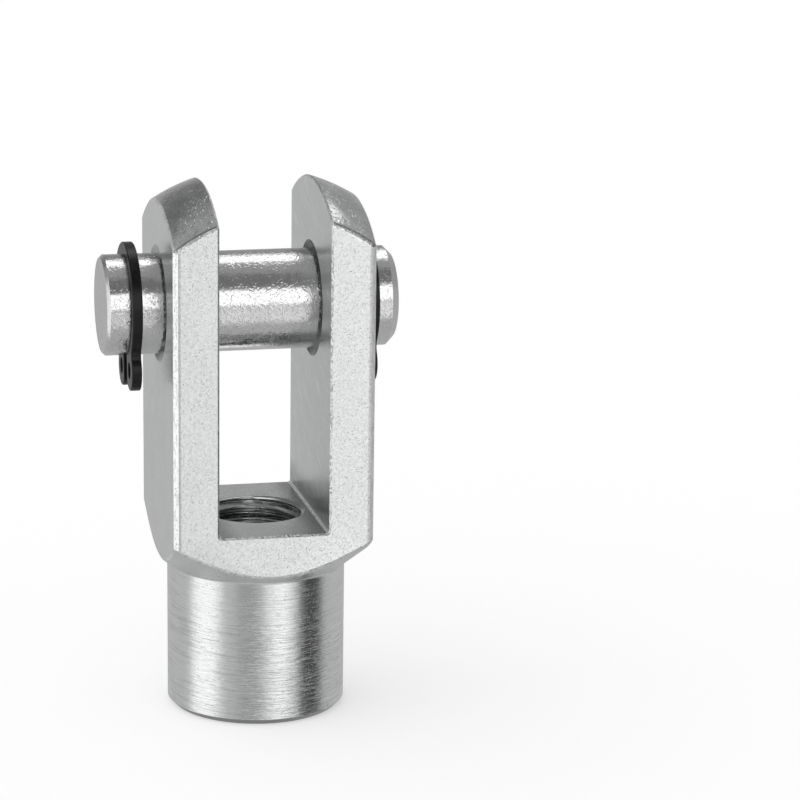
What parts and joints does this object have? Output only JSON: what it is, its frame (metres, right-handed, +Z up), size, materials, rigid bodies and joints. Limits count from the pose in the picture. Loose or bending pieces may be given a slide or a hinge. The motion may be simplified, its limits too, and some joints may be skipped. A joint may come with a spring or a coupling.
{
  "type": "clevis rod end",
  "caption": "Fork head on a round tapped shank, with a clevis pin held across its two ears by external snap rings.",
  "frame": {"origin": "centre of the shank's flat end, where the rod screws in", "axes": "+Z up the rod's axis towards the ears, X along the pin, Y through the slot with -Y at the front"},
  "size_m": [0.0293, 0.02, 0.0539],
  "materials": {
    "fork_steel": "bright zinc plate",
    "pin_steel": "bright zinc plate",
    "ring_steel": "black phosphate"
  },
  "bodies": {
    "fork": {"fork": "fork_steel"},
    "rings": {"left_ring": "ring_steel", "right_ring": "ring_steel"},
    "pin": {"pin": "pin_steel"}
  },
  "joints": [
    {"name": "pin_float", "type": "slide", "parent": "fork", "child": "rings", "axis": [1, 0, 0], "range_m": [-0.00025, 0.00235]},
    {"name": "pin_turn", "type": "hinge", "parent": "rings", "child": "pin", "pos_m": [0, 0, 0.0417], "axis": [1, 0, 0], "continuous": true}
  ]
}
